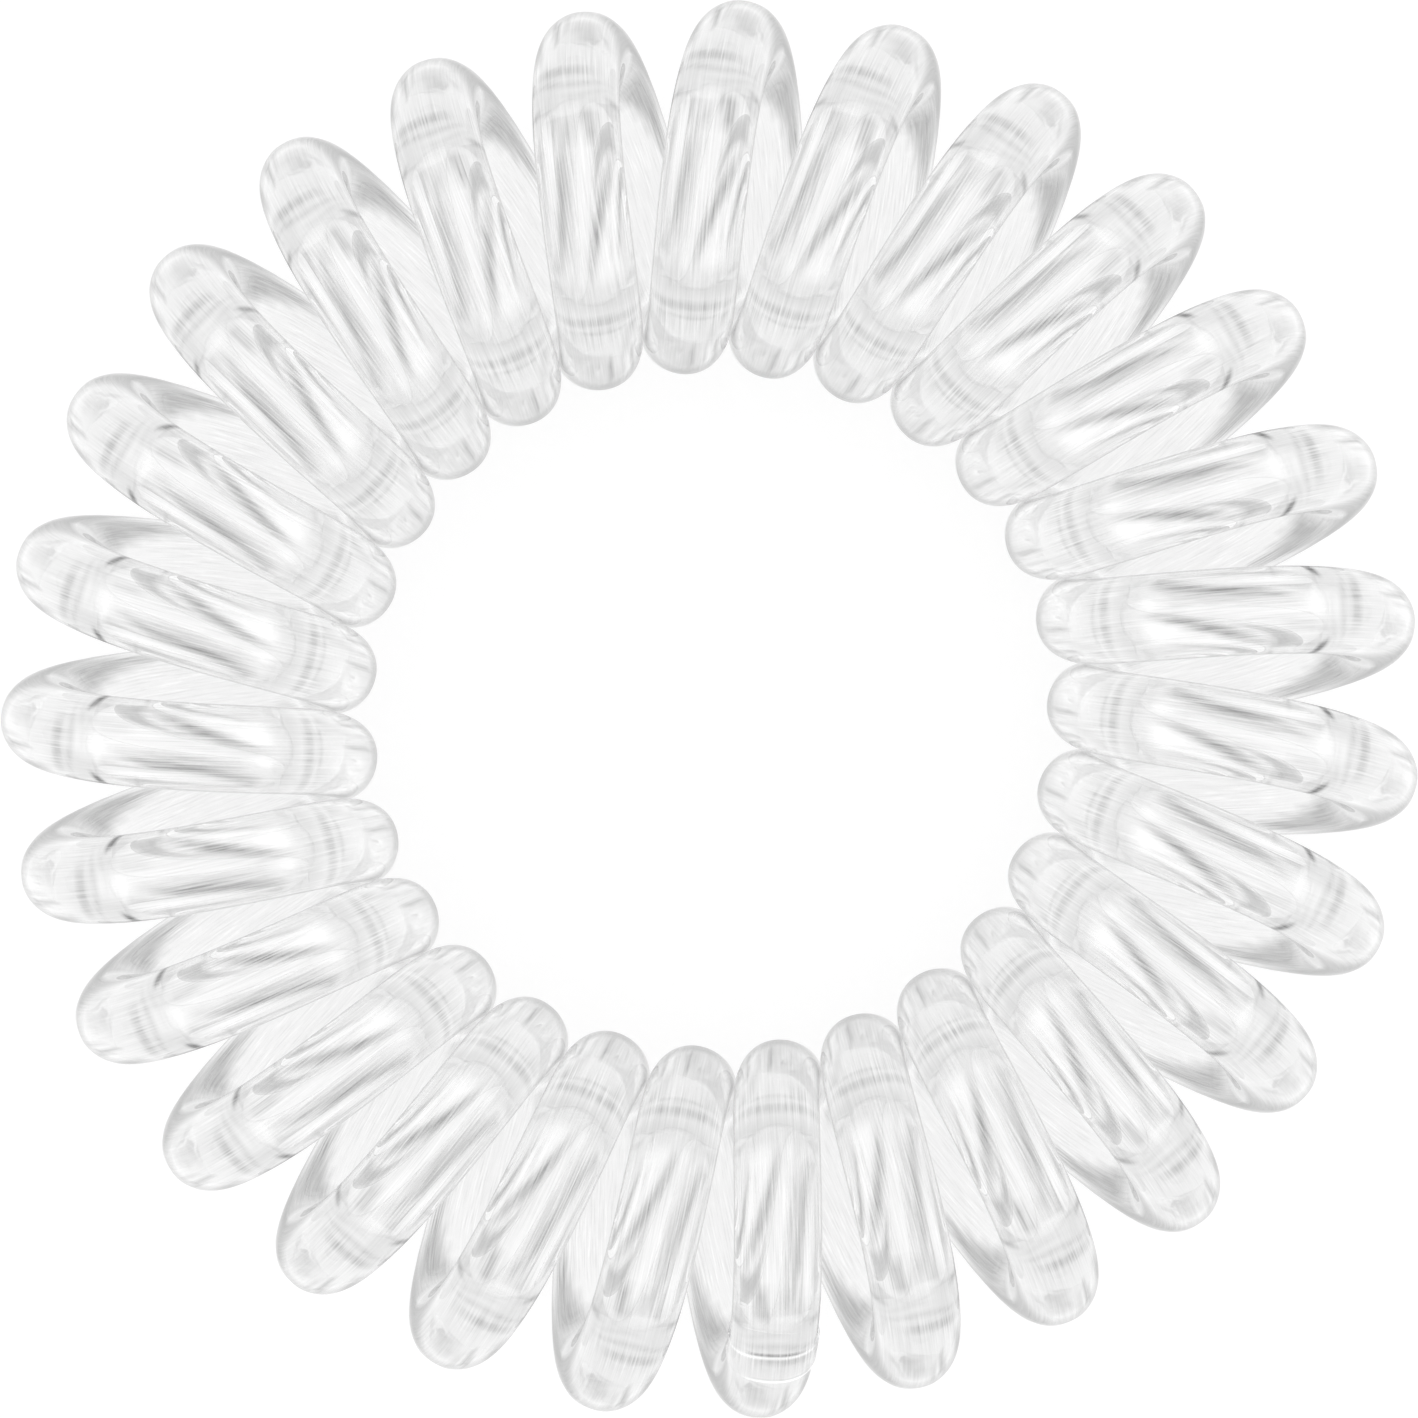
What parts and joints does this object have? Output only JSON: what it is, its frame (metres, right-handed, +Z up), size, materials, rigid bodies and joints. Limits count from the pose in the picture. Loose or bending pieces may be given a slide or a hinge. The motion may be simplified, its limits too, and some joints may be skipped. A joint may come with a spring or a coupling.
{
  "type": "spiral hair tie",
  "caption": "Clear spiral hair tie: one round elastic wire wound in close turns and bent into a ring, its two ends joined by a short weld band, that holds a ponytail.",
  "frame": {"origin": "the middle of the ring, on the plane that the turns rest on", "axes": "+Z up along the ring's axis, -Y towards the outer rim of the welded turn"},
  "size_m": [0.0448, 0.0448, 0.0118],
  "materials": {
    "clear_wire": "clear soft elastomer, glossy, with fine lines drawn along the wire",
    "clear_weld": "clear soft elastomer, glossy, fused smooth"
  },
  "bodies": {
    "root": {"spiral_coil": "clear_wire", "weld_joint": "clear_weld"}
  },
  "joints": []
}
